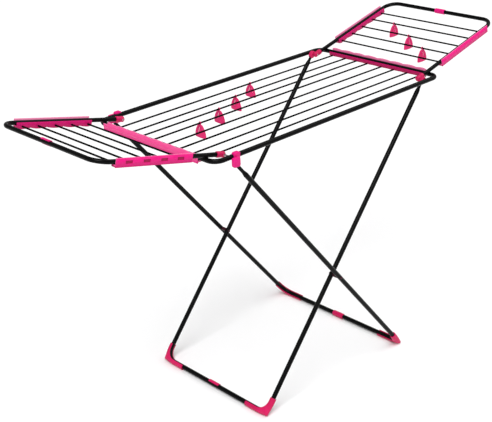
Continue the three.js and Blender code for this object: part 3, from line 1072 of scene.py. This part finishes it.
def buildShoes(name, top, foot, width):
    length = legLength(top, foot)
    half = width / 2
    bend = legs["corner"]
    normal = legNormal(top, foot)
    for edgeName, edge in (("far", 1), ("near", -1)):
        corners = [
            legPlace(top, foot, length - shoe["up"], edge * half),
            legPlace(top, foot, length, edge * half),
            legPlace(top, foot, length, edge * (half - shoe["along"])),
        ]
        curve = rounded(corners, bend, shoe["bendSteps"])
        leading = shoe["upSteps"]
        points = [corners[0].lerp(curve[1], k / leading) for k in range(leading)] + curve[1:-1]
        trailing = shoe["alongSteps"]
        points += [curve[-2].lerp(corners[2], k / trailing) for k in range(1, trailing + 1)]
        first = (corners[0] - corners[1]).normalized()
        second = (corners[2] - corners[1]).normalized()
        middle = corners[1] + (first + second) * bend
        facing = (points[1] - points[0]).cross(normal).dot(edge * crossways)
        sign = 1 if facing > 0 else -1
        sections = []
        for point in points:
            out = point - middle
            x = -out.dot(first)
            y = -out.dot(second)
            stretch = 1.0
            if x > 0 and y > 0:
                # square the corner off a little
                turn = math.atan2(x, y)
                reach = bend + shoe["radius"]
                square = reach / max(math.cos(turn), math.sin(turn))
                stretch = (reach + (square - reach) * shoe["square"] - bend) / shoe["radius"]
            sections.append([(sign * a, b) for a, b in shoeSection(stretch)])
        mesh = sweep(name + edgeName + "Shoe", points, normal, lambda i: sections[i])
        for vertex in mesh.vertices:
            vertex.co.z = max(vertex.co.z, shoe["floorGap"])
        place(f"{name}{edgeName.capitalize()}Shoe", mesh, [f"{name}_{edgeName}_shoe"])
    inward = -1 if foot[0] > 0 else 1
    middle = Vector((foot[0], 0, foot[1]))
    band = sleeveMesh(name + "Sleeve", middle, inward, airer["legRadius"], sleeve["footLength"])
    place(name + "FootSleeve", band, [name + "_foot_sleeve"])


buildShoes("outer", *outer)
buildShoes("inner", *inner)
print("feet made")


# Sock clips

clip = {
    "thickness": 2.6,
    "bevel": 0.7,
    "neck": (3.096, 0.6),
    "flanks": ((9.4, -6), (14.6, -12.5), (19.6, -21), (22.7, -30.5), (23.7, -38), (23.6, -42.5)),
    "corner": ((23, -45.2), (20.6, -46)),
    "base": ((12, -46.9), (0, -47.4)),
    "slot": ((3.9, -13), (9.6, -31)),
    "slotRadius": 1.15,
    "ringWall": 2.4,
    "ringGap": 0.45,
    "mouth": 24,
    "neckTurns": (-128, -52),
    "headSteps": 10,
    "insideSteps": 12,
    "tailSteps": 3,
}


def clipOutline():
    ring = airer["wireRadius"] + clip["ringWall"]
    bore = airer["wireRadius"] + clip["ringGap"]
    mouth = clip["mouth"]
    neckHalf, neckRise = clip["neck"]
    first, last = clip["neckTurns"]
    right = [(neckHalf, -ring + neckRise), *clip["flanks"], *clip["corner"], *clip["base"]]
    left = [(-x, y) for x, y in right[-2::-1]]

    def arc(radius, fromTurn, toTurn, steps):
        turns = [math.radians(fromTurn + (toTurn - fromTurn) * k / steps) for k in range(steps + 1)]
        return [(radius * math.cos(t), radius * math.sin(t)) for t in turns]

    head = arc(ring, first, -360 + mouth, clip["headSteps"])
    inside = arc(bore, mouth, 360 - mouth, clip["insideSteps"])
    tail = arc(ring, -mouth, last, clip["tailSteps"])
    return right + left + head + inside + tail


def clipMesh(name):
    (startX, startY), (endX, endY) = clip["slot"]
    slots = []
    for side in (1, -1):
        slots.append(oval((side * startX, startY), (side * endX, endY), clip["slotRadius"]))
    matrix = Matrix.Rotation(math.pi / 2, 4, "X")
    return plate(name, [clipOutline(), *slots], clip["thickness"], clip["bevel"], matrix)


clipPlaces = {"rackX": (76, -44, -161, -283), "wingY": (116, 5, -97)}
wired = airer["halfWidth"] - rack["wireMargin"]
wireLevel = railHeight - wireDrop(airer["railRadius"])
turn = Matrix.Rotation(-math.pi / 2, 4, "Z")
for i, x in enumerate(clipPlaces["rackX"]):
    spot = Matrix.Translation((x, rack["wireShares"][i] * wired, wireLevel))
    place(f"rackClip{i + 1}", clipMesh("rackClip"), [f"rack_clip_{i + 1}"], spot @ turn)
for i, y in enumerate(clipPlaces["wingY"]):
    along = airer["wingReach"] - wing["wires"][i + 1]
    spot = rightWingMatrix @ Vector((along, y, -wireDrop(airer["wingRadius"])))
    mesh = clipMesh("wingClip")
    place(f"wingClip{i + 1}", mesh, [f"wing_clip_{i + 1}"], Matrix.Translation(spot))
print("clips made")


# Studio

studio = {
    "floorHalf": 14,
    "floor": (0.93, 0.93, 0.93, 1),
    "floorTint": (0.915, 0.915, 0.92, 1),
    "floorRoughness": 0.85,
    "floorScale": 1.4,
    "skyLight": 0.3,
    "aim": (0, 0, 0.5),
    # name, where it shines from, width in degrees, strength
    "suns": (("key", (-2.0, -1.6, 4.4), 36, 2.6), ("fill", (2.4, -1.0, 3.6), 50, 0.9)),
}


def buildStudio():
    half = studio["floorHalf"]
    grid = bmesh.new()
    corners = ((-half, -half), (half, -half), (half, half), (-half, half))
    grid.faces.new([grid.verts.new((x, y, 0)) for x, y in corners])
    mesh = bpy.data.meshes.new("floor")
    grid.to_mesh(mesh)
    grid.free()
    floor = bpy.data.objects.new("floor", mesh)
    bpy.context.scene.collection.objects.link(floor)
    finish = Finish("paleFloor", Roughness=studio["floorRoughness"])
    cloud = finish.noise(studio["floorScale"], detail=3, roughness=0.5)
    finish.feed("Base Color", finish.mix(cloud, studio["floor"], studio["floorTint"]))
    mesh.materials.append(finish.material)
    for name, spot, width, power in studio["suns"]:
        light = bpy.data.lights.new(name, "SUN")
        light.angle = math.radians(width)
        light.energy = power
        lamp = bpy.data.objects.new(name, light)
        lamp.location = spot
        aim = Vector(studio["aim"]) - Vector(spot)
        lamp.rotation_euler = aim.to_track_quat("-Z", "Y").to_euler()
        bpy.context.scene.collection.objects.link(lamp)
    world = bpy.data.worlds.new("studioSky")
    world.use_nodes = True
    back = world.node_tree.nodes["Background"]
    back.inputs["Color"].default_value = (1, 1, 1, 1)
    back.inputs["Strength"].default_value = studio["skyLight"]
    bpy.context.scene.world = world
    bpy.context.scene.view_settings.view_transform = "Standard"


view = {
    "spot": (-2.245, -2.299, 1.984),
    "turn": -42.47,
    "rise": 24.29,
    "roll": -2.94,
    "lens": 79.19,
    "sensor": 36,
    "farthest": 60,
    "shiftX": -0.00231,
    "shiftY": -0.00482,
}


def buildCamera():
    turn = math.radians(view["turn"])
    rise = math.radians(view["rise"])
    roll = math.radians(view["roll"])
    level = Vector((math.sin(turn), -math.cos(turn), 0))
    back = level * math.cos(rise) + up * math.sin(rise)
    right = (-back).cross(up).normalized()
    above = right.cross(-back)
    rolledRight = math.cos(roll) * right + math.sin(roll) * above
    rolledUp = math.cos(roll) * above - math.sin(roll) * right
    data = bpy.data.cameras.new("view")
    data.sensor_width = view["sensor"]
    data.lens = view["lens"]
    data.shift_x = view["shiftX"]
    data.shift_y = view["shiftY"]
    data.clip_end = view["farthest"]
    camera = bpy.data.objects.new("view", data)
    axes = Matrix((rolledRight, rolledUp, back)).transposed().to_4x4()
    camera.matrix_world = Matrix.Translation(view["spot"]) @ axes
    bpy.context.scene.collection.objects.link(camera)
    bpy.context.scene.camera = camera


buildStudio()
buildCamera()
print("studio made")
